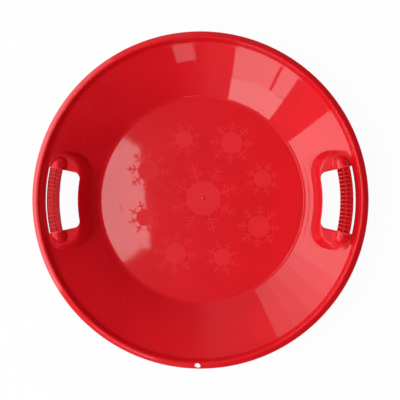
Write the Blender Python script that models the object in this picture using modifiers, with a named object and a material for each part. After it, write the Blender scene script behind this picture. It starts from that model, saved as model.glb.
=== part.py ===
"""A round saucer sled, moulded in one piece of glossy plastic.

The model is split where the moulding passes from one form to the next: the dish, the
rolled rim, a raised surround for each hand opening, and the grip bar in each surround.
Neighbours stand FIT_GAP apart. The origin is under the middle of the floor, +Z is up,
+X points to the right handle, and the tow hole is at -Y.
"""
import math

import bmesh
import bpy
from mathutils import Matrix, Vector

# Whole sled, in metres
OUTER_RADIUS = 0.300
TOTAL_HEIGHT = 0.088
WALL = 0.003
FIT_GAP = 0.0003

# Dish: the floor runs out to a corner, rounded by the fillet, and the wall climbs from there,
# steepest at its foot, as its middle stands above a straight line by the flare
FLOOR_CORNER_RADIUS = 0.193
FLOOR_FILLET = 0.012
WALL_FLARE = 0.003

# Rolled rim: widths are counted inwards from the outer radius, drops down from the crest
FLANGE_WIDTH = 0.0075
FLANGE_DROP = 0.0058
CREST_WIDTH = 0.0043
STEP_WIDTH = 0.0047
STEP_HEIGHT = 0.0145
FOOT_WIDTH = 0.003
LIP_DROP = 0.013
STEP_FILLET = 0.004
CREST_FILLET = 0.0037
LIP_FILLET = 0.0035
TOW_HOLE_DIAMETER = 0.010
TOW_HOLE_INSET = 0.0062

# Hand opening and slit: widths are counted inwards from the foot of the rim
SLIT_WIDTH = 0.0065
GRIP_WIDTH = 0.023
HAND_WIDTH = 0.0296
OPENING_CORNER = 0.0107

# Grip bar: an oval section, with pockets that leave a spine and cross ribs standing
GRIP_LENGTH = 0.120
GRIP_DEPTH = 0.017
GRIP_DROP = 0.003
POCKET_DEPTH = 0.0055
SPINE_THICKNESS = 0.0022
RIB_COUNT = 15
RIB_THICKNESS = 0.0018
END_WALL = 0.0016

# Handle surround: a raised platform with a rounded shoulder and a dome at each end of the grip
SURROUND_LENGTH = 0.180
SURROUND_MARGIN = 0.0127
SURROUND_CORNER = 0.036
FOOT_MARGIN = 0.0015
SHOULDER = 0.015
EDGE_DROP = 0.024
DOME_REACH = 0.018
DOME_LENGTH = 0.020
OPENING_LIP = 0.010

# Fineness of the turned forms, the arcs and the surround's sheet
TURN_STEPS = 72
GRIP_TURN_STEPS = 144
ARC_STEPS = 3
WALL_STEPS = 5
HOLE_STEPS = 24
OUTLINE_STEPS = 5
SIDE_STEPS = 7
GRIP_SECTION_STEPS = 14
SHEET_STEPS = 8
SHEET_CROWDING = 1.6

# Length by which a cutter reaches past what it cuts
CUT_OVERSHOOT = 0.010

# Places worked out from the sizes above
CREST_OUTER = OUTER_RADIUS - FLANGE_WIDTH
CREST_INNER = CREST_OUTER - CREST_WIDTH
STEP_FOOT = CREST_INNER - STEP_WIDTH
RIM_FOOT = STEP_FOOT - FOOT_WIDTH
GRIP_RADIUS = RIM_FOOT - SLIT_WIDTH - GRIP_WIDTH / 2
OPENING_INNER = RIM_FOOT - SLIT_WIDTH - GRIP_WIDTH - HAND_WIDTH
SURROUND_INNER = OPENING_INNER - SURROUND_MARGIN
GRIP_HALF_ANGLE = math.asin(GRIP_LENGTH / 2 / GRIP_RADIUS)
WALL_RUN = STEP_FOOT - FLOOR_CORNER_RADIUS
WALL_RISE = TOTAL_HEIGHT - STEP_HEIGHT - WALL
FOOT_ANGLE = math.atan2(WALL_RISE + 4 * WALL_FLARE, WALL_RUN)
FILLET_START = FLOOR_CORNER_RADIUS - FLOOR_FILLET * math.tan(FOOT_ANGLE / 2)
FILLET_END = FILLET_START + FLOOR_FILLET * math.sin(FOOT_ANGLE)


def clear_scene():
    for obj in list(bpy.data.objects):
        bpy.data.objects.remove(obj, do_unlink=True)


def new_collection(name):
    collection = bpy.data.collections.new(name)
    bpy.context.scene.collection.children.link(collection)
    return collection


def plastic(name, roughness):
    """Red polyethylene: one colour all over, glossier or duller by its mould surface."""
    material = bpy.data.materials.new(name)
    material.use_nodes = True
    shader = material.node_tree.nodes["Principled BSDF"]
    shader.inputs["Base Color"].default_value = (0.68, 0.012, 0.018, 1.0)
    shader.inputs["Roughness"].default_value = roughness
    shader.inputs["Metallic"].default_value = 0.0
    return material


def new_object(name, mesh, collection, material=None):
    obj = bpy.data.objects.new(name, mesh)
    collection.objects.link(obj)
    if material:
        mesh.materials.append(material)
    return obj


def mesh_from(name, bm):
    mesh = bpy.data.meshes.new(name)
    bm.to_mesh(mesh)
    bm.free()
    return mesh


def add_cutter(name, mesh, collection):
    cutter = new_object(name, mesh, collection)
    cutter.hide_render = True
    cutter.display_type = "WIRE"
    return cutter


def boolean(obj, operation, cutter):
    modifier = obj.modifiers.new(cutter.name, "BOOLEAN")
    modifier.operation = operation
    modifier.solver = "EXACT"
    modifier.object = cutter


def turn(obj, steps):
    """Turn a profile in the XZ plane once round the Z axis."""
    screw = obj.modifiers.new("turn", "SCREW")
    screw.angle = 2 * math.pi
    screw.steps = steps
    screw.render_steps = steps
    screw.use_merge_vertices = True
    screw.merge_threshold = 0.00001
    screw.use_smooth_shade = False


def profile_mesh(name, points, closed):
    bm = bmesh.new()
    verts = [bm.verts.new((point[0], 0.0, point[1])) for point in points]
    for first, second in zip(verts, verts[1:]):
        bm.edges.new((first, second))
    if closed:
        bm.edges.new((verts[-1], verts[0]))
    return mesh_from(name, bm)


def prism(name, outlines, bottom, top):
    """Closed upright prisms, one for each flat outline, between two levels."""
    bm = bmesh.new()
    for outline in outlines:
        base = bm.faces.new([bm.verts.new((x, y, bottom)) for x, y in outline])
        grown = bmesh.ops.extrude_face_region(bm, geom=[base])["geom"]
        for item in grown:
            if isinstance(item, bmesh.types.BMVert):
                item.co.z = top
    bmesh.ops.recalc_face_normals(bm, faces=bm.faces)
    return mesh_from(name, bm)


def rounded(corners, radii, steps):
    """Points of an open path whose inner corners are arcs of the given radii."""
    points = [corners[0]]
    for before, corner, after, radius in zip(corners, corners[1:], corners[2:], radii):
        back = (before - corner).normalized()
        ahead = (after - corner).normalized()
        half = back.angle(ahead) / 2
        centre = corner + (back + ahead).normalized() * radius / math.sin(half)
        spoke = corner + back * radius / math.tan(half) - centre
        side = 1 if back.cross(ahead) < 0 else -1
        for step in range(steps + 1):
            angle = side * (math.pi - 2 * half) * step / steps
            points.append(centre + Matrix.Rotation(angle, 2) @ spoke)
    points.append(corners[-1])
    return points


def underside(corners, radii):
    """The same path and radii, moved one wall thickness to the underside."""
    moved = []
    grown = []
    for before, corner, after, radius in zip(corners, corners[1:], corners[2:], radii):
        along = (corner - before).normalized()
        onward = (after - corner).normalized()
        down = Vector((along.y, -along.x))
        down_next = Vector((onward.y, -onward.x))
        mitre = (down + down_next).normalized()
        moved.append(corner + mitre * WALL / mitre.dot(down))
        hollow = along.cross(onward) > 0
        grown.append(radius + WALL if hollow else max(radius - WALL, FIT_GAP))
    return moved, grown


def wall_height(radius):
    """Upper surface of the dish: flat floor, fillet, flared wall."""
    if radius <= FILLET_START:
        return WALL
    if radius < FILLET_END:
        return WALL + FLOOR_FILLET - math.sqrt(FLOOR_FILLET ** 2 - (radius - FILLET_START) ** 2)
    share = (radius - FLOOR_CORNER_RADIUS) / WALL_RUN
    return WALL + WALL_RISE * share + 4 * WALL_FLARE * share * (1 - share)


def wall_slope(radius):
    """How steeply the upper surface of the dish climbs at a radius."""
    if radius <= FILLET_START:
        return 0.0
    if radius < FILLET_END:
        return math.tan(math.asin((radius - FILLET_START) / FLOOR_FILLET))
    share = (radius - FLOOR_CORNER_RADIUS) / WALL_RUN
    return (WALL_RISE + 4 * WALL_FLARE * (1 - 2 * share)) / WALL_RUN


def wall_underside(radius):
    """Lower surface of the dish, straight below, with the wall's thickness square to the sheet."""
    return max(0.0, wall_height(radius) - WALL * math.hypot(1, wall_slope(radius)))


def make_dish(collection, cutters, material):
    """Floor, fillet and wall, turned as one section, with a place cut out for each surround."""
    edge = RIM_FOOT - FIT_GAP
    radii = [0.0]
    for step in range(ARC_STEPS + 1):
        radii.append(FILLET_START + FLOOR_FILLET * math.sin(FOOT_ANGLE * step / ARC_STEPS))
    for step in range(1, WALL_STEPS + 1):
        radii.append(FILLET_END + (edge - FILLET_END) * step / WALL_STEPS)
    points = [(radius, wall_height(radius)) for radius in radii]
    points += [(radius, wall_underside(radius)) for radius in reversed(radii)]
    dish = new_object("dish", profile_mesh("dish", points, False), collection, material)
    turn(dish, TURN_STEPS)

    right = plan_prism("right_surround_place", surround_edge, -FOOT_MARGIN, cutters)
    left = add_cutter("left_surround_place", right.data, cutters)
    left.rotation_euler.z = math.pi
    boolean(dish, "DIFFERENCE", right)
    boolean(dish, "DIFFERENCE", left)
    return dish


def make_rim(collection, cutters, material):
    """Step, crest, sloping flange and lip, turned as one hooked section."""
    lip = TOTAL_HEIGHT - LIP_DROP
    top = [
        Vector((RIM_FOOT, wall_height(RIM_FOOT))),
        Vector((STEP_FOOT, TOTAL_HEIGHT - STEP_HEIGHT)),
        Vector((CREST_INNER, TOTAL_HEIGHT)),
        Vector((CREST_OUTER, TOTAL_HEIGHT)),
        Vector((OUTER_RADIUS, TOTAL_HEIGHT - FLANGE_DROP)),
        Vector((OUTER_RADIUS, lip)),
    ]
    radii = [STEP_FILLET, CREST_FILLET, CREST_FILLET, LIP_FILLET]
    low, low_radii = underside(top, radii)
    low = [Vector((RIM_FOOT, wall_underside(RIM_FOOT)))] + low + [Vector((OUTER_RADIUS - WALL, lip))]
    points = rounded(top, radii, ARC_STEPS) + rounded(low, low_radii, 1)[::-1]
    rim = new_object("rolled_rim", profile_mesh("rolled_rim", points, True), collection, material)
    turn(rim, TURN_STEPS)

    bm = bmesh.new()
    bmesh.ops.create_cone(bm, cap_ends=True, segments=HOLE_STEPS, radius1=TOW_HOLE_DIAMETER / 2,
                          radius2=TOW_HOLE_DIAMETER / 2, depth=TOTAL_HEIGHT)
    drill = add_cutter("tow_hole_drill", mesh_from("tow_hole_drill", bm), cutters)
    drill.location = (0, TOW_HOLE_INSET - OUTER_RADIUS, TOTAL_HEIGHT)
    boolean(rim, "DIFFERENCE", drill)
    return rim


def both_sides(half):
    """A whole outline of radii and angles from its half that runs from the middle to the rim."""
    return [(radius, -angle) for radius, angle in reversed(half) if angle > 0] + half


def corner_steps(corner):
    """How far the points of a round corner lie from its two edges."""
    for step in range(OUTLINE_STEPS + 1):
        angle = math.pi / 2 * step / OUTLINE_STEPS
        yield corner * (1 - math.cos(angle)), corner * (1 - math.sin(angle))


def side_radii(start, end):
    """Radii of the points along one side, from a corner out to the rim."""
    return [start + (end - start) * step / SIDE_STEPS for step in range(1, SIDE_STEPS + 1)]


def surround_edge(inset, end):
    """Half the foot of a surround: inner arc round the sled's axis, corner, straight side."""
    inner = SURROUND_INNER + inset
    side = SURROUND_LENGTH / 2 - inset
    corner = SURROUND_CORNER - inset
    places = [(inner, (side - corner) * step / OUTLINE_STEPS) for step in range(OUTLINE_STEPS)]
    places += [(inner + inward, side - sideways) for inward, sideways in corner_steps(corner)]
    places += [(radius, side) for radius in side_radii(inner + corner, end)]
    return [(radius, math.asin(across / radius)) for radius, across in places]


def opening_edge(inset, end):
    """Half the edge of a hand opening and its slit: inner arc, corner, radial side."""
    inner = OPENING_INNER + inset
    corner = OPENING_CORNER - inset
    start = GRIP_HALF_ANGLE - (inset + corner) / inner
    places = [(inner, start * step / OUTLINE_STEPS) for step in range(OUTLINE_STEPS)]
    for inward, sideways in corner_steps(corner):
        radius = inner + inward
        places.append((radius, GRIP_HALF_ANGLE - (inset + sideways) / radius))
    for radius in side_radii(inner + corner, end):
        places.append((radius, GRIP_HALF_ANGLE - inset / radius))
    return places


def plan_prism(name, edge, inset, collection):
    """Upright cutter over an outline that runs out to the edge of the sled."""
    outline = both_sides(edge(inset, OUTER_RADIUS))
    flat = [(radius * math.cos(angle), radius * math.sin(angle)) for radius, angle in outline]
    mesh = prism(name, [flat], -CUT_OVERSHOOT, TOTAL_HEIGHT + CUT_OVERSHOOT)
    return add_cutter(name, mesh, collection)


def inset_in_surround(radius, across):
    """How far a point lies inside the surround's outline."""
    inward = radius - SURROUND_INNER
    sideways = SURROUND_LENGTH / 2 - abs(across)
    if inward < SURROUND_CORNER and sideways < SURROUND_CORNER:
        return SURROUND_CORNER - math.hypot(SURROUND_CORNER - inward, SURROUND_CORNER - sideways)
    return min(inward, sideways)


def surround_height(radius, across):
    """Upper surface of a surround: from the wall over the shoulder to the platform and domes."""
    wall = wall_height(radius)
    inset = inset_in_surround(radius, across)
    if inset <= 0:
        return wall
    edge = TOTAL_HEIGHT - EDGE_DROP
    slope = (wall_height(RIM_FOOT) - edge) / (RIM_FOOT - OPENING_INNER)
    platform = edge + (radius - OPENING_INNER) * slope
    platform_at_grip = edge + (GRIP_RADIUS - OPENING_INNER) * slope
    past_grip = max(0.0, abs(across) - GRIP_LENGTH / 2)
    reach = math.hypot((radius - GRIP_RADIUS) / DOME_REACH, past_grip / DOME_LENGTH)
    dome = (TOTAL_HEIGHT - GRIP_DROP - platform_at_grip) * math.cos(math.pi / 2 * min(1.0, reach)) ** 2
    rise = math.sin(math.pi / 2 * min(1.0, inset / SHOULDER))
    return wall + max(0.0, platform + dome - wall) * rise


def on_surround(radius, angle):
    """The point of the surround's upper surface at a radius and an angle."""
    across = radius * math.sin(angle)
    return Vector((radius * math.cos(angle), across, surround_height(radius, across)))


def under_surround(point):
    """The point of the surround's underside straight below one of its upper surface."""
    probe = FIT_GAP
    slopes = []
    for x, y in ((probe, 0), (0, probe)):
        ahead = surround_height(math.hypot(point.x + x, point.y + y), point.y + y)
        behind = surround_height(math.hypot(point.x - x, point.y - y), point.y - y)
        slopes.append((ahead - behind) / (2 * probe))
    plumb = WALL * math.hypot(1, *slopes)
    return Vector((point.x, point.y, max(point.z - plumb, wall_underside(point.xy.length))))


def make_surround(collection, material):
    """Hollow platform round the right hand opening, lofted, with a lip hanging round the opening."""
    end = RIM_FOOT - FIT_GAP
    rise = both_sides(surround_edge(0, end))
    lip = both_sides(opening_edge(-WALL, end))
    rows = [both_sides(surround_edge(FIT_GAP - FOOT_MARGIN, end))]
    for step in range(SHEET_STEPS + 1):
        share = (step / SHEET_STEPS) ** SHEET_CROWDING
        rows.append([Vector(near).lerp(Vector(far), share) for near, far in zip(rise, lip)])

    bm = bmesh.new()
    sections = []
    for places, edge in zip(zip(*rows), both_sides(opening_edge(0, end))):
        top = [on_surround(*place) for place in places]
        under = [under_surround(point) for point in top]
        top.append(on_surround(*edge))
        lowest = max(TOTAL_HEIGHT - EDGE_DROP - OPENING_LIP, wall_underside(under[-1].xy.length))
        hem = min(lowest, under[-1].z - FIT_GAP)
        turned_in = [Vector((*point.xy, hem)) for point in (top[-1], under[-1])]
        sections.append([bm.verts.new(point) for point in top + turned_in + under[::-1]])
    for section, following in zip(sections, sections[1:]):
        ring = zip(section, section[1:] + section[:1], following[1:] + following[:1], following)
        for corners in ring:
            bm.faces.new(corners)
    bm.faces.new(sections[0])
    bm.faces.new(sections[-1][::-1])
    bmesh.ops.recalc_face_normals(bm, faces=bm.faces)
    mesh = mesh_from("right_handle_surround", bm)
    return new_object("right_handle_surround", mesh, collection, material)


def pocket_outlines():
    """Plans of the pockets between the ribs, one row on each side of the spine."""
    half = GRIP_HALF_ANGLE - END_WALL / GRIP_RADIUS
    pitch = 2 * half / (RIB_COUNT + 1)
    rib = RIB_THICKNESS / GRIP_RADIUS / 2
    rows = [
        (GRIP_RADIUS - GRIP_WIDTH, GRIP_RADIUS - SPINE_THICKNESS / 2),
        (GRIP_RADIUS + SPINE_THICKNESS / 2, GRIP_RADIUS + GRIP_WIDTH),
    ]
    outlines = []
    for count in range(RIB_COUNT + 1):
        start = -half + pitch * count + (rib if count else 0)
        end = -half + pitch * (count + 1) - (rib if count < RIB_COUNT else 0)
        for near, far in rows:
            corners = [(near, start), (far, start), (far, end), (near, end)]
            outlines.append([(r * math.cos(a), r * math.sin(a)) for r, a in corners])
    return outlines


def make_grip(collection, cutters, material):
    """Oval bar round the sled's axis, cut to length, with its pockets cut from above."""
    middle = TOTAL_HEIGHT - GRIP_DROP - GRIP_DEPTH / 2
    points = []
    for step in range(GRIP_SECTION_STEPS):
        angle = math.pi / 2 - 2 * math.pi * step / GRIP_SECTION_STEPS
        across = GRIP_WIDTH / 2 * math.cos(angle)
        points.append(Vector((GRIP_RADIUS + across, middle + GRIP_DEPTH / 2 * math.sin(angle))))
    grip = new_object("right_grip", profile_mesh("right_grip", points, True), collection, material)
    turn(grip, GRIP_TURN_STEPS)

    boolean(grip, "INTERSECT", plan_prism("grip_span", opening_edge, FIT_GAP, cutters))
    floor = TOTAL_HEIGHT - GRIP_DROP - POCKET_DEPTH
    pockets = prism("grip_pockets", pocket_outlines(), floor, TOTAL_HEIGHT + CUT_OVERSHOOT)
    boolean(grip, "DIFFERENCE", add_cutter("grip_pockets", pockets, cutters))
    return grip


def finish(obj):
    """Replace an object's mesh by what its modifiers make of it."""
    bpy.context.view_layer.update()
    depsgraph = bpy.context.evaluated_depsgraph_get()
    mesh = bpy.data.meshes.new_from_object(obj.evaluated_get(depsgraph))
    obj.modifiers.clear()
    obj.data = mesh
    mesh.shade_smooth()
    mesh.set_sharp_from_angle(angle=math.radians(30))


def turned_half_round(obj, name, collection):
    """The same form on the other side of the sled."""
    twin = bpy.data.objects.new(name, obj.data)
    twin.rotation_euler.z = math.pi
    collection.objects.link(twin)
    return twin


def main():
    clear_scene()
    sled = new_collection("saucer_sled")
    cutters = new_collection("cutters")
    gloss = plastic("dish_red", 0.18)
    rim_gloss = plastic("rim_red", 0.2)
    surround_gloss = plastic("surround_red", 0.22)
    grip_satin = plastic("grip_red", 0.35)

    surround = make_surround(sled, surround_gloss)
    grip = make_grip(sled, cutters, grip_satin)
    for obj, twin_name in ((surround, "left_handle_surround"), (grip, "left_grip")):
        finish(obj)
        turned_half_round(obj, twin_name, sled)

    for obj in (make_rim(sled, cutters, rim_gloss), make_dish(sled, cutters, gloss)):
        finish(obj)


main()
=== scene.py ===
import math

import bmesh
import bpy
from mathutils import Matrix, Vector


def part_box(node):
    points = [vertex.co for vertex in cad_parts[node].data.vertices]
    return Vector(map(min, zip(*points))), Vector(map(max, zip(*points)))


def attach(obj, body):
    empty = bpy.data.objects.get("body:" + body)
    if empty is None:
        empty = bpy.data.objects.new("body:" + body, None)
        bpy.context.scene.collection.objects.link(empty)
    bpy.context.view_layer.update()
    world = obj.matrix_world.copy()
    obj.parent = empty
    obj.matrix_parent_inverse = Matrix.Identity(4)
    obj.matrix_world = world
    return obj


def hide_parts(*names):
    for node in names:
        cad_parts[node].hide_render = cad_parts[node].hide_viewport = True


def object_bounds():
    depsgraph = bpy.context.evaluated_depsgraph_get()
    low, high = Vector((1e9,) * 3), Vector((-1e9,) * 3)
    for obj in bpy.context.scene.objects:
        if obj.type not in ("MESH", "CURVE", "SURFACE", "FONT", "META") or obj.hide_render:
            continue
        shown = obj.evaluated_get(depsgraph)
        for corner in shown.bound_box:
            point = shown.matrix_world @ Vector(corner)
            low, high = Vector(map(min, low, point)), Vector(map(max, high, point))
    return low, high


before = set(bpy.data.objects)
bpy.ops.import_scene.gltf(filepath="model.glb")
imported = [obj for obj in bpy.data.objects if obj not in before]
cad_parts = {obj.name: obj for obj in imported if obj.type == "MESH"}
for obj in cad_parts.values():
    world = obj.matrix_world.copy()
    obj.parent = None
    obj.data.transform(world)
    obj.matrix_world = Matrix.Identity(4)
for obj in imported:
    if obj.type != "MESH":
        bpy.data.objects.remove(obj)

cad_low, cad_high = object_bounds()


# Dish: a flat round floor and the wall that slopes up from it, one sheet of red polyethylene.
# It is injection moulded in a polished tool, and its wall flares a little towards the rim.
# On each side it is open for the raised surround of a hand hole.
sheet_thickness = 0.003
floor_corner = 0.193
floor_fillet = 0.012
wall_flare = 0.003
dish_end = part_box("dish")[1].y
wall_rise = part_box("dish")[1].z - sheet_thickness
seam_radius = dish_end - 0.0018
ring_steps = 320
floor_rings = (0.012, 0.080, 0.150)
fillet_rings = 10
wall_rings = 22
merge_distance = 0.000001
foot_angle = math.atan((wall_rise + 4 * wall_flare) / (dish_end - floor_corner))
fillet_start = floor_corner - floor_fillet * math.tan(foot_angle / 2)
fillet_end = fillet_start + floor_fillet * math.sin(foot_angle)


def wall_height(radius):
    """Upper face of the dish: flat floor, fillet, then the flared wall."""
    if radius <= fillet_start:
        return sheet_thickness
    if radius < fillet_end:
        drop = math.sqrt(floor_fillet ** 2 - (radius - fillet_start) ** 2)
        return sheet_thickness + floor_fillet - drop
    share = (radius - floor_corner) / (dish_end - floor_corner)
    return sheet_thickness + wall_rise * share + 4 * wall_flare * share * (1 - share)


def wall_underside(radius):
    """Lower face of the dish, straight below, where the sheet is as thick as it is everywhere."""
    probe = 0.0002
    slope = (wall_height(radius + probe) - wall_height(radius - probe)) / (2 * probe)
    return max(0.0, wall_height(radius) - sheet_thickness * math.hypot(1, slope))


def turned(name, section, closed):
    """Extrude a ring of edges from point to point of a section, right round the sled's axis."""
    bpy.ops.object.select_all(action="DESELECT")
    radius, height = section[0]
    bpy.ops.mesh.primitive_circle_add(vertices=ring_steps, radius=radius, location=(0, 0, height),
                                      fill_type="NOTHING" if closed else "TRIFAN")
    piece = bpy.context.object
    piece.name = name
    bpy.ops.object.transform_apply(location=True)
    bpy.ops.object.mode_set(mode="EDIT")
    bpy.ops.mesh.select_mode(type="EDGE")
    if not closed:
        bpy.ops.mesh.select_all(action="DESELECT")
        bpy.ops.mesh.select_non_manifold()
    for next_radius, next_height in section[1:]:
        rise = {"value": (0, 0, next_height - height)}
        bpy.ops.mesh.extrude_edges_move(TRANSFORM_OT_translate=rise)
        share = next_radius / radius
        bpy.ops.transform.resize(value=(share, share, 1), center_override=(0, 0, 0))
        radius, height = next_radius, next_height
    if not closed:
        bpy.ops.mesh.edge_face_add()
        bpy.ops.mesh.poke()
    bpy.ops.mesh.select_all(action="SELECT")
    bpy.ops.mesh.remove_doubles(threshold=merge_distance)
    bpy.ops.mesh.normals_make_consistent(inside=False)
    bpy.ops.object.mode_set(mode="OBJECT")
    return piece


# The plan of a surround's foot, which the dish is cut to: an arc round the sled's axis,
# a round corner and a straight side that runs out to the rim, the same on both halves.
surround_inner = 0.2087
surround_length = 0.180
surround_corner = 0.036
foot_margin = 0.0015
cut_margin = 0.010
middle_steps = 14
corner_steps = 18
side_steps = 48


def both_sides(half):
    """A whole outline of radii and angles from its half, which runs from the middle outwards."""
    return [(radius, -angle) for radius, angle in reversed(half) if angle > 0] + half


def corner_points(radius):
    """How far the points of a round corner lie from its two edges."""
    for step in range(corner_steps + 1):
        angle = math.pi / 2 * step / corner_steps
        yield radius * (1 - math.cos(angle)), radius * (1 - math.sin(angle))


def surround_edge(inset, end):
    """The outline of a surround, a given distance inside its foot, as radii and angles."""
    inner = surround_inner + inset
    side = surround_length / 2 - inset
    corner = surround_corner - inset
    start = inner + corner
    places = [(inner, (side - corner) * step / middle_steps) for step in range(middle_steps)]
    places += [(inner + inward, side - sideways) for inward, sideways in corner_points(corner)]
    places += [(start + (end - start) * step / side_steps, side) for step in range(1, side_steps + 1)]
    return both_sides([(radius, math.asin(across / radius)) for radius, across in places])


def cutter_prism(outline, low, high):
    """An upright prism on a closed outline in plan, to cut with."""
    bpy.ops.object.select_all(action="DESELECT")
    bpy.ops.mesh.primitive_circle_add(vertices=len(outline), fill_type="NGON")
    cutter = bpy.context.object
    for vertex, place in zip(cutter.data.vertices, outline):
        vertex.co = (*place, low)
    bpy.ops.object.mode_set(mode="EDIT")
    bpy.ops.mesh.select_all(action="SELECT")
    bpy.ops.mesh.extrude_region_move(TRANSFORM_OT_translate={"value": (0, 0, high - low)})
    bpy.ops.mesh.select_all(action="SELECT")
    bpy.ops.mesh.normals_make_consistent(inside=False)
    bpy.ops.object.mode_set(mode="OBJECT")
    return cutter


def choose(piece):
    """Make a piece the only one selected, and active."""
    bpy.ops.object.select_all(action="DESELECT")
    bpy.context.view_layer.objects.active = piece
    piece.select_set(True)


def cut(piece, cutter):
    """Cut a piece with a cutter, which is then removed."""
    choose(piece)
    modifier = piece.modifiers.new("cut", "BOOLEAN")
    modifier.operation = "DIFFERENCE"
    modifier.object = cutter
    bpy.ops.object.modifier_apply(modifier=modifier.name)
    bpy.data.objects.remove(cutter)


def smooth(piece, sharpest):
    """Shade a piece smooth, except over edges that turn more than an angle in degrees."""
    choose(piece)
    bpy.ops.object.shade_smooth_by_angle(angle=math.radians(sharpest))


dish_radii = list(floor_rings)
dish_radii += [fillet_start + floor_fillet * math.sin(foot_angle * step / fillet_rings)
               for step in range(fillet_rings + 1)]
dish_radii += [fillet_end + (seam_radius - fillet_end) * step / wall_rings
               for step in range(1, wall_rings + 1)]
dish_section = [(radius, wall_height(radius)) for radius in dish_radii]
dish_section += [(radius, wall_underside(radius)) for radius in reversed(dish_radii)]
dish = turned("dish_shell", dish_section, closed=False)
for turn in (0.0, math.pi):
    outline = [(radius * math.cos(angle + turn), radius * math.sin(angle + turn))
               for radius, angle in surround_edge(-foot_margin, dish_end + 2 * cut_margin)]
    cut(dish, cutter_prism(outline, -cut_margin, cad_high.z + cut_margin))
smooth(dish, 35)


def linear(colour):
    """A linear colour with alpha from an sRGB hex one."""
    shares = [int(colour[place:place + 2], 16) / 255 for place in (1, 3, 5)]
    curve = [share / 12.92 if share <= 0.04045 else ((share + 0.055) / 1.055) ** 2.4 for share in shares]
    return (*curve, 1.0)


def add_node(tree, kind, inputs, **settings):
    """Add a node with its settings; each input takes a value or another node's output."""
    node = tree.nodes.new(kind)
    for setting, value in settings.items():
        setattr(node, setting, value)
    for name, value in inputs.items():
        if isinstance(value, bpy.types.NodeSocket):
            tree.links.new(value, node.inputs[name])
        else:
            node.inputs[name].default_value = value
    return node


def polyethylene(name, pale, deep, polished, wear_and_painted_highlight, ripple):
    """Red polyethylene as the mould leaves it. Its colour drifts where the melt flowed, fine
    scuffs break its gloss, and a low ripple bends what it reflects."""
    flow_width = 0.070
    scuff_length = 0.070
    scuff_width = 0.0016
    scuff_lean = math.radians(22)
    sink_pitch = 0.045
    material = bpy.data.materials.new(name)
    material.use_nodes = True
    tree = material.node_tree
    shader = tree.nodes["Principled BSDF"]
    shader.inputs["IOR"].default_value = 1.54
    place = add_node(tree, "ShaderNodeTexCoord", {}).outputs["Object"]

    # Melt flow: broad drifts between two near shades, as wide as the melt front was
    flow = add_node(tree, "ShaderNodeTexNoise", {"Vector": place, "Scale": 1 / flow_width, "Detail": 3.0})
    shades = add_node(tree, "ShaderNodeValToRGB", {"Fac": flow.outputs["Fac"]})
    for element, position, colour in zip(shades.color_ramp.elements, (0.35, 0.65), (pale, deep)):
        element.position = position
        element.color = linear(colour)
    tree.links.new(shades.outputs["Color"], shader.inputs["Base Color"])

    # Scuffs: long dull streaks, drawn about ten times wider than real ones so that they show
    streaks = add_node(tree, "ShaderNodeMapping", {"Vector": place, "Rotation": (0, 0, scuff_lean),
                                                   "Scale": (scuff_width, scuff_length, scuff_length)},
                       vector_type="TEXTURE")
    scuffs = add_node(tree, "ShaderNodeTexNoise", {"Vector": streaks.outputs["Vector"], "Scale": 1.0,
                                                   "Detail": 2.0, "Distortion": 0.4})
    wear = add_node(tree, "ShaderNodeMapRange", {"Value": scuffs.outputs["Fac"], "From Min": 0.63,
                                                 "From Max": 0.76, "To Min": polished, "To Max": wear_and_painted_highlight})
    tree.links.new(wear.outputs["Result"], shader.inputs["Roughness"])

    # Ripple: shallow sink marks that make the edges of mirrored windows waver
    swell = add_node(tree, "ShaderNodeTexNoise", {"Vector": place, "Scale": 1 / sink_pitch, "Detail": 1.0})
    bump = add_node(tree, "ShaderNodeBump", {"Height": swell.outputs["Fac"], "Strength": 1.0,
                                             "Distance": ripple})
    tree.links.new(bump.outputs["Normal"], shader.inputs["Normal"])
    return material


# Mirror-moulded: the tool was polished here, so floor and wall mirror windows with crisp edges
dish.data.materials.append(
    polyethylene("mirror_moulded_polyethylene", "#DC1520", "#D6121D", 0.04, 0.3, 0.00006))
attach(dish, "root")
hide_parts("dish")


# Rolled rim: the edge of the same moulding, turned up in a step, flat on its crest, sloping
# out and down in a flange, and turned under in a lip that stiffens it. A small hole for a
# tow cord goes through the flange at the front.
flange_width = 0.0088
flange_drop = 0.0061
crest_width = 0.0038
step_width = 0.0043
step_height = 0.0145
lip_drop = 0.0132
rim_gap = 0.00002
rim_fillets = (0.004, 0.0022, 0.0022, 0.0035)
least_fillet = 0.0002
rim_fillet_segments = 6
ring_tolerance = 0.00005
tow_hole_radius = 0.005
tow_hole_inset = 0.0062
tow_hole_steps = 48
crest_outer = cad_high.x - flange_width
crest_inner = crest_outer - crest_width
step_foot = crest_inner - step_width


def underside(path):
    """The inner corners of a section's path, moved one sheet thickness to its underside."""
    moved = []
    for before, corner, after in zip(path, path[1:], path[2:]):
        along = (corner - before).normalized()
        onward = (after - corner).normalized()
        down = Vector((along.y, -along.x))
        mitre = (down + Vector((onward.y, -onward.x))).normalized()
        moved.append(corner + mitre * sheet_thickness / mitre.dot(down))
    return moved


def round_ring(piece, before, corner, after, fillet):
    """Round the ring of edges at one corner of a turned piece's section."""
    half_turn = (corner - before).angle(after - corner) / 2
    bpy.ops.object.mode_set(mode="EDIT")
    bpy.ops.mesh.select_all(action="DESELECT")
    bm = bmesh.from_edit_mesh(piece.data)
    for edge in bm.edges:
        edge.select = all((Vector((vert.co.xy.length, vert.co.z)) - corner).length < ring_tolerance
                          for vert in edge.verts)
    bmesh.update_edit_mesh(piece.data)
    bpy.ops.mesh.bevel(offset=fillet * math.tan(half_turn), segments=rim_fillet_segments)
    bpy.ops.object.mode_set(mode="OBJECT")


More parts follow.
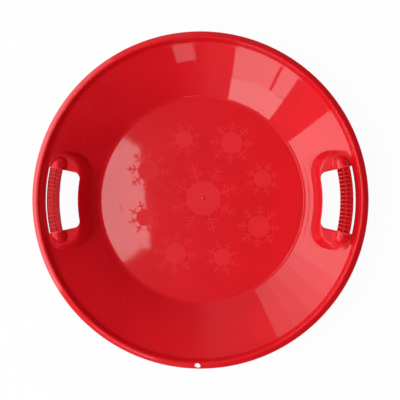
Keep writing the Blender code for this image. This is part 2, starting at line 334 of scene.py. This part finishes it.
rim_start = seam_radius + rim_gap
rim_top = [
    Vector((rim_start, wall_height(rim_start))),
    Vector((step_foot, cad_high.z - step_height)),
    Vector((crest_inner, cad_high.z)),
    Vector((crest_outer, cad_high.z)),
    Vector((cad_high.x, cad_high.z - flange_drop)),
    Vector((cad_high.x, cad_high.z - lip_drop)),
]
rim_low = [Vector((rim_start, wall_underside(rim_start)))] + underside(rim_top)
rim_low.append(rim_top[-1] - Vector((sheet_thickness, 0)))
rim = turned("rim_shell", rim_top + rim_low[::-1] + rim_top[:1], closed=True)
for before, corner, after, fillet in zip(rim_top, rim_top[1:], rim_top[2:], rim_fillets):
    round_ring(rim, before, corner, after, fillet)
for before, corner, after, fillet in zip(rim_low, rim_low[1:], rim_low[2:], rim_fillets):
    hollow = (corner - before).cross(after - corner) > 0
    fillet += sheet_thickness if hollow else -sheet_thickness
    round_ring(rim, before, corner, after, max(fillet, least_fillet))

bpy.ops.mesh.primitive_cylinder_add(vertices=tow_hole_steps, radius=tow_hole_radius, depth=5 * cut_margin,
                                    location=(0, tow_hole_inset - cad_high.x, cad_high.z))
cut(rim, bpy.context.object)
smooth(rim, 35)

# Handled: gloves and ground have dulled the rim a little, so its mirrored lines are softer
rim.data.materials.append(
    polyethylene("handled_rim_polyethylene", "#DC1520", "#D6121D", 0.10, 0.3, 0.00004))
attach(rim, "root")
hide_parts("rolled_rim")


# Handle surrounds: a platform raised from the wall round each hand hole, with a rounded
# shoulder, a knob at each end of the grip, and an edge that rolls over into a hanging lip.
# They are the same plastic and the same moulding as the dish.
opening_inner = 0.2214
opening_corner = 0.0107
grip_radius = 0.2625
grip_length = 0.120
grip_width = 0.023
grip_drop = 0.003
edge_drop = 0.024
opening_lip = 0.010
opening_round = 0.0032
butt_round = 0.0004
shoulder = 0.015
foot_easing = 0.0012
shoulder_corner = 0.048
side_bend = 17
knob_half_width = 0.0140
knob_straight = 0.007
knob_rise = 0.0185
knob_easing = 0.008
knob_falloff = 4
sheet_rows = 44
sheet_crowding = 1.25
round_rows = 8
under_rows = 16
opening_half_angle = math.radians(12.5)
platform_edge = cad_high.z - edge_drop
platform_slope = (wall_height(dish_end) - platform_edge) / (dish_end - opening_inner)
knob_top = cad_high.z - grip_drop


def opening_edge(inset, end):
    """The outline of a hand hole with its slit, a given distance inside its edge."""
    inner = opening_inner + inset
    corner = opening_corner - inset
    start = inner + corner
    straight = opening_half_angle - opening_corner / inner
    half = [(inner, straight * step / middle_steps) for step in range(middle_steps)]
    half += [(inner + inward, opening_half_angle - (inset + sideways) / (inner + inward))
             for inward, sideways in corner_points(corner)]
    radii = [start + (end - start) * step / side_steps for step in range(1, side_steps + 1)]
    half += [(radius, opening_half_angle - inset / radius) for radius in radii]
    return both_sides(half)


def inset_in_surround(radius, across):
    """How far a point lies inside the line where the shoulder leaves the wall."""
    inward = radius - surround_inner
    sideways = surround_length / 2 - abs(across) - side_bend * max(0.0, radius - grip_radius) ** 2
    if inward < shoulder_corner and sideways < shoulder_corner:
        return shoulder_corner - math.hypot(shoulder_corner - inward, shoulder_corner - sideways)
    return min(inward, sideways)


def eased(inset):
    """A length that starts off flat, so that the shoulder leaves the wall in a small fillet."""
    return math.hypot(inset, foot_easing) - foot_easing


def surround_height(radius, across):
    """Upper face of a surround: shoulder, platform and a knob past each end of the grip."""
    wall = wall_height(radius)
    inset = inset_in_surround(radius, across)
    if inset <= 0:
        return wall
    platform = platform_edge + (radius - opening_inner) * platform_slope
    rise = math.sin(math.pi / 2 * min(1.0, eased(inset) / eased(shoulder)))
    raised = wall + max(0.0, platform - wall) * rise
    past_grip = max(0.0, abs(across) - grip_radius * math.sin(opening_half_angle) - knob_straight)
    reach = math.hypot(radius - grip_radius, past_grip) / knob_half_width
    bulge = math.sqrt(1 - reach ** 2) if reach < 1 else knob_falloff * (1 - reach)
    knob = knob_top - knob_rise + knob_rise * bulge
    overlap = max(0.0, knob_easing - abs(knob - raised))
    return max(knob, raised) + overlap ** 2 / knob_easing / 4


def at(place, height=None, drop=0.0):
    """The point over a place given as radius and angle, on the surround or at a height."""
    radius, angle = place
    if height is None:
        height = surround_height(radius, radius * math.sin(angle))
    return Vector((radius * math.cos(angle), radius * math.sin(angle), height - drop))


def under(place):
    """The point of a surround's underside over a place, where its sheet is of full thickness."""
    point = at(place)
    probe = 0.0003
    slopes = []
    for x, y in ((probe, 0), (0, probe)):
        ahead = surround_height(math.hypot(point.x + x, point.y + y), point.y + y)
        behind = surround_height(math.hypot(point.x - x, point.y - y), point.y - y)
        slopes.append((ahead - behind) / (2 * probe))
    lowest = wall_underside(place[0])
    return at(place, max(point.z - sheet_thickness * math.hypot(1, *slopes), lowest))


def surround_section(foot, rise, lip, inner_lip, edge):
    """One closed section of a surround, from its foot up, over the edge, down and back under."""
    butts = abs(edge[0] - grip_radius) - grip_width / 2
    corner = min(opening_round, max(butt_round, butts))
    share = corner / opening_round
    edge, rise, lip, inner_lip = (Vector(place) for place in (edge, rise, lip, inner_lip))
    last = edge.lerp(lip, share)
    section = [at(foot)]
    section += [at(rise.lerp(last, (row / sheet_rows) ** (1 / sheet_crowding)))
                for row in range(sheet_rows + 1)]
    for row in range(1, round_rows + 1):
        angle = math.pi / 2 * row / round_rows
        section.append(at(last.lerp(edge, math.sin(angle)), drop=corner * (1 - math.cos(angle))))
    hem = max(platform_edge - opening_lip, wall_underside(inner_lip[0]))
    hem = min(hem, under(inner_lip).z - rim_gap, section[-1].z - rim_gap)
    section += [at(edge, hem), at(inner_lip, hem)]
    section += [under(inner_lip.lerp(rise, row / under_rows)) for row in range(under_rows + 1)]
    section.append(at(foot, wall_underside(foot[0])))
    return section + section[:1]


def swept(name, sections):
    """A closed mesh through a row of closed sections, each a list of points, with its ends filled."""
    bpy.ops.object.select_all(action="DESELECT")
    bpy.ops.mesh.primitive_grid_add(x_subdivisions=len(sections[0]) - 1, y_subdivisions=len(sections) - 1)
    piece = bpy.context.object
    piece.name = name
    points = [point for section in sections for point in section]
    for vertex, point in zip(piece.data.vertices, points):
        vertex.co = point
    bpy.ops.object.mode_set(mode="EDIT")
    bpy.ops.mesh.select_all(action="SELECT")
    bpy.ops.mesh.remove_doubles(threshold=merge_distance)
    bpy.ops.mesh.dissolve_degenerate(threshold=merge_distance)
    bpy.ops.mesh.select_all(action="SELECT")
    bpy.ops.mesh.fill_holes(sides=0)
    bpy.ops.mesh.select_all(action="SELECT")
    bpy.ops.mesh.normals_make_consistent(inside=False)
    if bmesh.from_edit_mesh(piece.data).calc_volume(signed=True) < 0:
        bpy.ops.mesh.flip_normals()
    bpy.ops.object.mode_set(mode="OBJECT")
    return piece


outlines = [surround_edge(-foot_margin, seam_radius), surround_edge(0, seam_radius),
            opening_edge(-opening_round, seam_radius), opening_edge(-sheet_thickness, seam_radius),
            opening_edge(0, seam_radius)]
sections = [surround_section(*places) for places in zip(*outlines)]
right_surround = swept("right_surround_shell", sections)
smooth(right_surround, 40)


def half_turned(piece, name):
    """A copy of a piece on the other side of the sled, with a mesh of its own."""
    twin = piece.copy()
    twin.name = name
    twin.data = piece.data.copy()
    twin.data.transform(Matrix.Rotation(math.pi, 4, "Z"))
    bpy.context.collection.objects.link(twin)
    return twin


# Moulded: a less polished part of the tool, so a soft sheen without clear images
right_surround.data.materials.append(
    polyethylene("moulded_surround_polyethylene", "#DC1520", "#D6121D", 0.20, 0.28, 0.00003))
left_surround = half_turned(right_surround, "left_surround_shell")
for surround, node in ((right_surround, "right_handle_surround"),
                       (left_surround, "left_handle_surround")):
    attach(surround, "root")
    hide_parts(node)


# Grips: a bar of squarish oval section between the knobs of each surround, with pockets moulded
# into its top that leave a low spine and fifteen thin cross ribs, so that a wet glove does not slip.
# It is moulded in one with the surround, of the same red polyethylene.
grip_depth = 0.017
rib_count = 15
rib_pitch = math.radians(1.55)
rib_width = 0.0015
rib_edge_round = 0.0004
oval_squareness = 0.8
pocket_half_width = 0.0105
pocket_places = (0.008, 0.0055, 0.003)
pocket_depth = 0.0072
spine_half_width = 0.0006
spine_drop = 0.0052
under_steps = 24
flank_steps = 4
end_gap = 0.0001
# Heights above the bar's middle where the painted highlight on the rib tops begins and where it is full
painted_highlight_start = 0.0022
painted_highlight_full = 0.0038
span = math.asin(grip_length / 2 / grip_radius) - end_gap
grip_middle = cad_high.z - grip_drop - grip_depth / 2
pocket_floor = grip_middle + grip_depth / 2 - pocket_depth
spine_top = grip_middle + grip_depth / 2 - spine_drop


def oval_point(angle):
    """A point of the bar's outline: an oval with its flanks and its top pushed out."""
    place = []
    for share, half in ((math.cos(angle), grip_width / 2), (math.sin(angle), grip_depth / 2)):
        place.append(half * math.copysign(abs(share) ** oval_squareness, share))
    return place[0], grip_middle + place[1]


def oval_top(across):
    """Height of the bar's top at a distance beside its middle line."""
    share = abs(across) / (grip_width / 2)
    return grip_middle + grip_depth / 2 * (1 - share ** (2 / oval_squareness)) ** (oval_squareness / 2)


# Each point of the section has its place across the bar, its height in a rib and in a pocket
wall_angle = math.acos((2 * pocket_half_width / grip_width) ** (1 / oval_squareness))
outer = [oval_point(wall_angle * step / flank_steps) for step in range(flank_steps)]
below = [oval_point(-math.pi * step / under_steps) for step in range(1, under_steps)]
right_half = [(x, z, z) for x, z in outer]
right_half.append((pocket_half_width, oval_top(pocket_half_width), oval_top(pocket_half_width)))
right_half += [(x, oval_top(x), pocket_floor)
               for x in (pocket_half_width, *pocket_places, spine_half_width)]
right_half.append((spine_half_width, oval_top(spine_half_width), spine_top))
grip_section = right_half + [(-x, rib, pocket) for x, rib, pocket in reversed(right_half)]
grip_section += [(x, z, z) for x, z in reversed(below)] + right_half[:1]

pockets_end = (rib_count + 1) / 2 * rib_pitch
stations = [(-span, False), (-pockets_end, False), (-pockets_end, True)]
for rib in range(rib_count):
    middle = (rib - (rib_count - 1) / 2) * rib_pitch
    half = rib_width / 2 / grip_radius
    stations += [(middle - half, True), (middle - half, False)]
    stations += [(middle + half, False), (middle + half, True)]
stations += [(pockets_end, True), (pockets_end, False), (span, False)]
sections = [[at((grip_radius + x, angle), pocket if in_pocket else rib) for x, rib, pocket in grip_section]
            for angle, in_pocket in stations]
right_grip = swept("right_grip_bar", sections)
bpy.ops.object.mode_set(mode="EDIT")
bpy.ops.mesh.select_mode(type="EDGE")
bpy.ops.mesh.select_all(action="DESELECT")
bpy.ops.mesh.edges_select_sharp(sharpness=math.radians(50))
bpy.ops.mesh.bevel(offset=rib_edge_round, segments=2, clamp_overlap=True)
bpy.ops.object.mode_set(mode="OBJECT")
smooth(right_grip, 40)

# Satin: a duller tool and years of gloves give it a soft sheen. Its base is painted a deeper red than the
# dish's, as painted shade for the deep pockets
grip_polyethylene = polyethylene("satin_grip_painted_shade_and_highlight", "#CE0A13", "#C8070F", 0.15, 0.28, 0.00002)
tree = grip_polyethylene.node_tree
shader = tree.nodes["Principled BSDF"]
# Painted highlight: above a height on the bar the colour mixes to a paler red, standing in for the light
# on the rib tops and upper flanks
height = add_node(tree, "ShaderNodeTexCoord", {}).outputs["Object"]
height = add_node(tree, "ShaderNodeSeparateXYZ", {"Vector": height}).outputs["Z"]
painted_highlight_share = add_node(tree, "ShaderNodeMapRange", {"Value": height, "From Min": grip_middle + painted_highlight_start,
                                               "From Max": grip_middle + painted_highlight_full})
wear_and_painted_highlight = add_node(tree, "ShaderNodeMixRGB", {"Fac": painted_highlight_share.outputs["Result"], "Color2": linear("#E62D38")})
tree.links.new(shader.inputs["Base Color"].links[0].from_socket, wear_and_painted_highlight.inputs["Color1"])
tree.links.new(wear_and_painted_highlight.outputs["Color"], shader.inputs["Base Color"])
right_grip.data.materials.append(grip_polyethylene)
left_grip = half_turned(right_grip, "left_grip_bar")
for grip, node in ((right_grip, "right_grip"), (left_grip, "left_grip")):
    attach(grip, "root")
    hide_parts(node)


# Snowflakes: an ornament on the floor, nine eight-armed flakes with a round hub, matt because
# the mould was etched there. They are the dish's own plastic and stand a hair above its polish.
flake_height = 0.00012
flake_root = 0.0001
flake_line = 0.00275
arm_count = 8
arm_root_share = 0.9
twig_width_share = 0.85
twig_lean = math.radians(65)
flake_turn = math.radians(18)
ring_radius = 0.1158
ornament_middle = Vector((0.0038, 0.0031, 0))
ring_count = 8
hub_steps = 96


def flake_bar(start, end, width):
    """A flat bar between two points of the floor, standing on the floor's surface."""
    along = end - start
    middle = (start + end) / 2
    height = flake_height + flake_root
    bpy.ops.mesh.primitive_cube_add(size=1,
                                    location=(*middle, sheet_thickness - flake_root + height / 2),
                                    rotation=(0, 0, math.atan2(along.y, along.x)),
                                    scale=(along.length, width, height))
    return bpy.context.object


def snowflake(name, hub, tip, twigs, turn):
    """One flake: a round hub and its arms, each with pairs of twigs given as place and length."""
    bpy.ops.object.select_all(action="DESELECT")
    height = flake_height + flake_root
    bpy.ops.mesh.primitive_cylinder_add(vertices=hub_steps, radius=hub, depth=height,
                                        location=(0, 0, sheet_thickness - flake_root + height / 2))
    flake = bpy.context.object
    bars = []
    for arm in range(arm_count):
        angle = turn + 2 * math.pi * arm / arm_count
        out = Vector((math.cos(angle), math.sin(angle)))
        bars.append(flake_bar(out * hub * arm_root_share, out * tip, flake_line))
        for place, length in twigs:
            for side in (-1, 1):
                lean = angle + side * twig_lean
                twig = Vector((math.cos(lean), math.sin(lean))) * length
                bars.append(flake_bar(out * place, out * place + twig, flake_line * twig_width_share))
    choose(bars[0])
    for bar in bars:
        bar.select_set(True)
    bpy.ops.object.join()
    choose(flake)
    modifier = flake.modifiers.new("bars", "BOOLEAN")
    modifier.operation = "UNION"
    modifier.object = bars[0]
    modifier.use_self = True
    bpy.ops.object.modifier_apply(modifier=modifier.name)
    bpy.data.objects.remove(bars[0])
    flake.name = name
    bpy.ops.object.transform_apply(location=True)
    return flake


middle_flake = snowflake("middle_snowflake", hub=0.0320, tip=0.0675, turn=flake_turn,
                         twigs=((0.0403, 0.0167), (0.0471, 0.0088), (0.0560, 0.0103)))
middle_flake.data.transform(Matrix.Translation(ornament_middle))
small_flake = snowflake("small_snowflake", hub=0.0161, tip=0.0324, turn=flake_turn,
                        twigs=((0.0211, 0.0071),))
large_flake = snowflake("large_snowflake", hub=0.0199, tip=0.0407, turn=math.radians(-4),
                        twigs=((0.0253, 0.0103), (0.0333, 0.0065)))
flakes = [middle_flake]
for place in range(ring_count):
    angle = flake_turn + 2 * math.pi * place / ring_count
    model = large_flake if place % 2 else small_flake
    flake = model.copy()
    flake.data = model.data.copy()
    flake.name = f"ring_snowflake_{place + 1}"
    out = Vector((math.cos(angle), math.sin(angle), 0)) * ring_radius
    flake.data.transform(Matrix.Translation(ornament_middle + out))
    bpy.context.collection.objects.link(flake)
    flakes.append(flake)
bpy.data.objects.remove(small_flake)
bpy.data.objects.remove(large_flake)

# Etched: the mould's fine grain scatters light, so the flakes look pale and mirror nothing
etched = polyethylene("etched_polyethylene", "#E01C26", "#DB1822", 0.45, 0.55, 0.00002)
for flake in flakes:
    flake.data.materials.append(etched)
    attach(flake, "root")


# Gate mark: a low disc in the middle flake's hub, where the melt ran into the mould and the
# sprue was cut off. It is the same plastic, as smooth as the surrounds.
gate_radius = 0.0048
gate_height = 0.00006
gate_steps = 64
bpy.ops.mesh.primitive_cylinder_add(vertices=gate_steps, radius=gate_radius, depth=2 * gate_height,
                                    location=(*ornament_middle.xy, sheet_thickness + flake_height))
gate_mark = bpy.context.object
gate_mark.name = "gate_mark"
bpy.ops.object.transform_apply(location=True)
bpy.ops.object.mode_set(mode="EDIT")
bpy.ops.mesh.edges_select_sharp(sharpness=math.radians(50))
bpy.ops.mesh.bevel(offset=gate_height / 2, segments=2)
bpy.ops.object.mode_set(mode="OBJECT")
smooth(gate_mark, 40)
gate_mark.data.materials.append(right_surround.data.materials[0])
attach(gate_mark, "root")


# Studio: a dim room round a white table, seen from almost straight above. The sled mirrors a row
# of windows on the left, one on the near side, a small one and an overhead lamp. Three soft lamps
# that it doesn't mirror fill in the plain light.
camera_distance = 1.5
camera_side = 0.125
aim_side = 0.0045
focal_length = 76.6
table_radius = 8
table_gap = 0.0002
table_glow = 0.95
window_distance = 6.0
bpy.ops.object.camera_add(location=(camera_side, 0, cad_high.z + camera_distance))
camera = bpy.context.object
camera.data.lens = focal_length
camera.data.clip_end = 50
camera.rotation_euler = (0, math.atan2(camera_side - aim_side, camera_distance), 0)
bpy.context.scene.camera = camera
bpy.context.scene.view_settings.view_transform = "Standard"

# White paper: the camera sees it almost plain white, with a trace of the sled's shadow. The sled
# mirrors that white too, but under the sled the paper is as dark as its own shade makes it
bpy.ops.mesh.primitive_circle_add(vertices=128, radius=table_radius, fill_type="NGON",
                                  location=(0, 0, -table_gap))
table = bpy.context.object
table.name = "table"
paper = bpy.data.materials.new("white_table_paper")
paper.use_nodes = True
tree = paper.node_tree
tree.nodes.clear()
path = add_node(tree, "ShaderNodeLightPath", {}).outputs
place = add_node(tree, "ShaderNodeTexCoord", {}).outputs["Object"]
distance = add_node(tree, "ShaderNodeVectorMath", {0: place}, operation="LENGTH")
open_table = add_node(tree, "ShaderNodeMath", {0: distance.outputs["Value"], 1: cad_high.x},
                      operation="GREATER_THAN")
glossy = add_node(tree, "ShaderNodeMath", {0: path["Is Glossy Ray"], 1: open_table.outputs["Value"]},
                  operation="MULTIPLY")
seen = add_node(tree, "ShaderNodeMath", {0: path["Is Camera Ray"], 1: glossy.outputs["Value"]},
                operation="MAXIMUM")
seen = add_node(tree, "ShaderNodeMath", {0: seen.outputs["Value"], 1: path["Is Transmission Ray"]},
                operation="MAXIMUM")
share = add_node(tree, "ShaderNodeMath", {0: seen.outputs["Value"], 1: table_glow}, operation="MULTIPLY")
lit = add_node(tree, "ShaderNodeBsdfDiffuse", {"Color": linear("#EFEFEF")})
glow = add_node(tree, "ShaderNodeEmission", {"Color": (1, 1, 1, 1), "Strength": 1.0})
mixed = add_node(tree, "ShaderNodeMixShader", {0: share.outputs["Value"], 1: lit.outputs["BSDF"],
                                               2: glow.outputs["Emission"]})
add_node(tree, "ShaderNodeOutputMaterial", {"Surface": mixed.outputs["Shader"]})
table.data.materials.append(paper)

# Dim room: greys from the window side on the left to the dark right, and white for the camera
world = bpy.data.worlds.new("dim_room")
bpy.context.scene.world = world
world.use_nodes = True
tree = world.node_tree
tree.nodes.clear()
direction = add_node(tree, "ShaderNodeTexCoord", {}).outputs["Generated"]
across = add_node(tree, "ShaderNodeSeparateXYZ", {"Vector": direction}).outputs["X"]
share = add_node(tree, "ShaderNodeMapRange", {"Value": across, "From Min": -1.0, "From Max": 1.0})
greys = add_node(tree, "ShaderNodeValToRGB", {"Fac": share.outputs["Result"]})
ramp = greys.color_ramp
levels = ((0.0, 0.27), (0.42, 0.3), (0.455, 0.17), (0.5, 0.1), (0.58, 0.05), (1.0, 0.01))
while len(ramp.elements) < len(levels):
    ramp.elements.new(0.5)
for element, (position, level) in zip(ramp.elements, levels):
    element.position = position
    element.color = (level, level, level, 1)
room = add_node(tree, "ShaderNodeBackground", {"Color": greys.outputs["Color"], "Strength": 1.0})
white = add_node(tree, "ShaderNodeBackground", {"Color": (1, 1, 1, 1), "Strength": 1.0})
path = add_node(tree, "ShaderNodeLightPath", {}).outputs
seen = add_node(tree, "ShaderNodeMath", {0: path["Is Camera Ray"], 1: path["Is Transmission Ray"]},
                operation="MAXIMUM")
mixed = add_node(tree, "ShaderNodeMixShader", {0: seen.outputs["Value"], 1: room.outputs["Background"],
                                               2: white.outputs["Background"]})
add_node(tree, "ShaderNodeOutputWorld", {"Surface": mixed.outputs["Shader"]})


def lamp(name, place, facing, width, height, radiance):
    """A rectangular lamp that looks as bright from everywhere, unseen by the camera."""
    bpy.ops.object.light_add(type="AREA", location=place)
    light = bpy.context.object
    light.name = name
    light.rotation_euler = facing.to_track_quat("-Z", "Y").to_euler()
    light.data.shape = "RECTANGLE"
    light.data.size = width
    light.data.size_y = height
    light.data.energy = radiance * width * height * math.pi
    light.visible_camera = False
    return light


def window(name, start, end, sill, head, radiance):
    """An upright window between two bearings and two heights above the horizon, in degrees."""
    middle = math.radians(start + end) / 2
    half = math.radians(end - start) / 2
    out = Vector((math.cos(middle), math.sin(middle), 0)) * window_distance
    low = window_distance * math.tan(math.radians(sill))
    high = window_distance * math.tan(math.radians(head))
    place = out + Vector((0, 0, (low + high) / 2))
    return lamp(name, place, -out, 2 * window_distance * math.tan(half), high - low, radiance)


def soft_lamp(name, bearing, width, low, high, radiance):
    """A lamp at a bearing, between two heights above the horizon, that lights but isn't mirrored."""
    bearing = math.radians(bearing)
    middle = math.radians(low + high) / 2
    out = Vector((math.cos(bearing), math.sin(bearing), 0)) * math.cos(middle)
    out.z = math.sin(middle)
    across = 2 * window_distance * math.tan(math.radians(width) / 2) * math.cos(middle)
    height = 2 * window_distance * math.tan(math.radians(high - low) / 2)
    light = lamp(name, out * window_distance, -out, across, height, radiance)
    light.visible_glossy = False


# Bearings from +X and heights above the horizon, in degrees
for name, start, end, sill, head, radiance in (
        ("left_window_1", 182, 211, 0, 38, 2.2),
        ("left_window_2", 153, 182, 0, 38, 2.2),
        ("left_window_3", 146, 153, 0, 38, 1.75),
        ("left_window_4", 139, 146, 0, 38, 1.4),
        ("left_window_5", 132, 139, 0, 38, 1.1),
        ("left_window_6", 125, 132, 0, 38, 0.85),
        ("near_window_low", 226, 250.5, 11, 21, 3.1),
        ("near_window_left", 226, 232.4, 21, 38, 2.65),
        ("near_window_right", 233.6, 250.5, 21, 38, 2.5),
        ("small_window", 266, 274, 28.5, 38, 1.4)):
    window(name, start, end, sill, head, radiance)
overhead = lamp("overhead_lamp", place=Vector((-0.68, 0.085, 3.0)), facing=Vector((0, 0, -1)),
                width=0.26, height=0.73, radiance=3.4)
overhead.rotation_euler.z = math.radians(6.3)
for name, bearing, width, low, high, radiance in (
        ("left_soft_lamp", 180, 45, 57, 76, 13.5),
        ("near_right_soft_lamp", 315, 45, 38, 57, 4.0),
        ("far_soft_lamp", 90, 45, 3, 22, 2.0)):
    soft_lamp(name, bearing, width, low, high, radiance)
